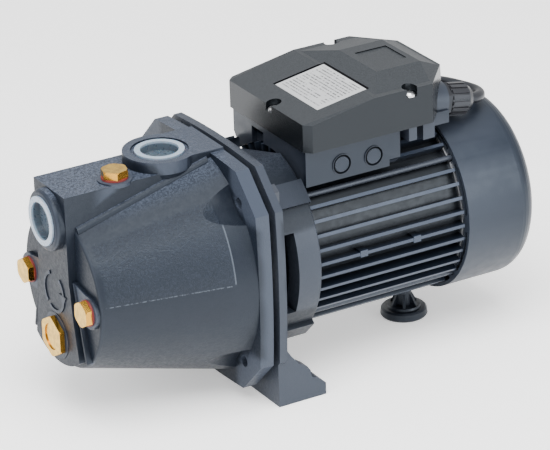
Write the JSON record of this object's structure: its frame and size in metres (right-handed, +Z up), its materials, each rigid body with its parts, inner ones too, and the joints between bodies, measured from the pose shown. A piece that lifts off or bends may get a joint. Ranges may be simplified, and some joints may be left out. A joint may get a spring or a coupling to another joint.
{
  "type": "shallow well jet pump",
  "caption": "Close-coupled self-priming jet pump with cast casing, threaded ports, finned motor, terminal box and mains lead.",
  "frame": {"origin": "centre of the foot's two bolt slots, on the plane the pump stands on", "axes": "+X along the shaft from the pump head to the fan, +Y to the side the mains lead lies on, +Z up"},
  "size_m": [0.363, 0.3149, 0.2065],
  "materials": {
    "cast_iron_paint": "sand cast surface under dark blue-grey paint",
    "bracket_paint": "sand cast surface under dark blue-grey paint",
    "housing_paint": "die cast, dark blue-grey satin paint",
    "bare_aluminium": "as cast, satin",
    "fan_cover_plastic": "satin, dark blue-grey",
    "box_plastic": "fine spark-eroded grain, near black",
    "foot_plastic": "satin, dark blue-grey",
    "black_plastic": "satin black",
    "pump_plastic": "glass filled, black",
    "impeller_plastic": "glass filled, cream",
    "cap_plastic": "translucent milky",
    "zinc_steel": "zinc plated",
    "painted_rod": "dark blue-grey satin paint",
    "stainless": "satin",
    "bearing_steel": "ground and polished",
    "electrical_steel": "stacked laminations",
    "copper_winding": "enamelled copper wire, varnished",
    "brass": "turned, satin",
    "fibre": "red vulcanised fibre",
    "gasket_black": "matte black",
    "lead_sheath": "satin black",
    "ceramic_white": "lapped ceramic",
    "label_foil": "satin foil",
    "block_plastic": "light grey",
    "capacitor_can": "light grey"
  },
  "bodies": {
    "pump_unit": {"pump_casing": "cast_iron_paint", "seal_plate": "stainless", "casing_o_ring": "gasket_black", "casing_bolts": "zinc_steel", "ejector_nozzle": "pump_plastic", "venturi_tube": "pump_plastic", "diffuser": "pump_plastic", "seal_seat": "ceramic_white", "motor_bracket": "bracket_paint", "motor_housing": "housing_paint", "stator_core": "electrical_steel", "stator_windings": "copper_winding", "front_bearing_outer": "bearing_steel", "rear_bearing_outer": "bearing_steel", "wave_washer": "stainless", "rear_end_shield": "bare_aluminium", "tie_rods": "painted_rod", "tie_rod_nuts": "zinc_steel", "fan_cover": "fan_cover_plastic", "fan_cover_screws": "zinc_steel", "rear_foot": "foot_plastic", "rear_foot_screw": "zinc_steel", "terminal_box_base": "box_plastic", "terminal_box_gasket": "gasket_black", "terminal_box_cover": "box_plastic", "terminal_box_screws": "zinc_steel", "nameplate": "label_foil", "terminal_block": "block_plastic", "run_capacitor": "capacitor_can", "capacitor_clamp": "zinc_steel", "gland_body": "black_plastic", "gland_seal": "gasket_black", "gland_nut": "black_plastic", "mains_lead": "lead_sheath", "mains_lead_coil": "lead_sheath", "mains_plug": "lead_sheath"},
    "rotor": {"motor_shaft": "stainless", "impeller": "impeller_plastic", "impeller_nut": "stainless", "seal_head": "stainless", "seal_spring": "stainless", "water_slinger": "gasket_black", "front_bearing_inner": "bearing_steel", "rear_bearing_inner": "bearing_steel", "rotor_core": "electrical_steel", "cooling_fan": "black_plastic", "fan_clip": "stainless"},
    "inlet_cap": {"inlet_cap": "cap_plastic"},
    "outlet_cap": {"outlet_cap": "cap_plastic"},
    "filler_washer": {"filler_washer": "fibre"},
    "filler_plug": {"filler_plug": "brass"},
    "drain_washer": {"drain_washer": "gasket_black"},
    "drain_plug": {"drain_plug": "brass"},
    "near_side_washer": {"near_side_washer": "fibre"},
    "near_side_plug": {"near_side_plug": "brass"},
    "far_side_washer": {"far_side_washer": "fibre"},
    "far_side_plug": {"far_side_plug": "brass"}
  },
  "joints": [
    {"name": "rotor_spin", "type": "hinge", "parent": "pump_unit", "child": "rotor", "pos_m": [0, 0, 0.092], "axis": [1, 0, 0], "continuous": true},
    {"name": "inlet_cap_pull", "type": "slide", "parent": "pump_unit", "child": "inlet_cap", "axis": [-1, 0, 0], "range_m": [0, 0.06]},
    {"name": "outlet_cap_pull", "type": "slide", "parent": "pump_unit", "child": "outlet_cap", "axis": [0, 0, 1], "range_m": [0, 0.06]},
    {"name": "filler_plug_lift", "type": "slide", "parent": "pump_unit", "child": "filler_washer", "axis": [0, 0, 1], "range_m": [0, 0.00802]},
    {"name": "filler_plug_turn", "type": "hinge", "parent": "filler_washer", "child": "filler_plug", "pos_m": [-0.105, -0.0125, 0.171], "axis": [0, 0, 1], "range_deg": [0, 2200]},
    {"name": "drain_plug_lift", "type": "slide", "parent": "pump_unit", "child": "drain_washer", "axis": [-1, 0, 0], "range_m": [0, 0.01089]},
    {"name": "drain_plug_turn", "type": "hinge", "parent": "drain_washer", "child": "drain_plug", "pos_m": [-0.1496, 0, 0.059], "axis": [-1, 0, 0], "range_deg": [0, 2200]},
    {"name": "near_side_plug_lift", "type": "slide", "parent": "pump_unit", "child": "near_side_washer", "axis": [-1, 0, 0], "range_m": [0, 0.00802]},
    {"name": "near_side_plug_turn", "type": "hinge", "parent": "near_side_washer", "child": "near_side_plug", "pos_m": [-0.146, -0.043, 0.092], "axis": [-1, 0, 0], "range_deg": [0, 2200]},
    {"name": "far_side_plug_lift", "type": "slide", "parent": "pump_unit", "child": "far_side_washer", "axis": [-1, 0, 0], "range_m": [0, 0.00802]},
    {"name": "far_side_plug_turn", "type": "hinge", "parent": "far_side_washer", "child": "far_side_plug", "pos_m": [-0.146, 0.043, 0.092], "axis": [-1, 0, 0], "range_deg": [0, 2200]}
  ],
  "couplings": [
    {"joint": "filler_plug_turn", "follows": "filler_plug_lift", "rad_per_m": 4700.2},
    {"joint": "drain_plug_turn", "follows": "drain_plug_lift", "rad_per_m": 3463.1},
    {"joint": "near_side_plug_turn", "follows": "near_side_plug_lift", "rad_per_m": 4700.2},
    {"joint": "far_side_plug_turn", "follows": "far_side_plug_lift", "rad_per_m": 4700.2}
  ]
}
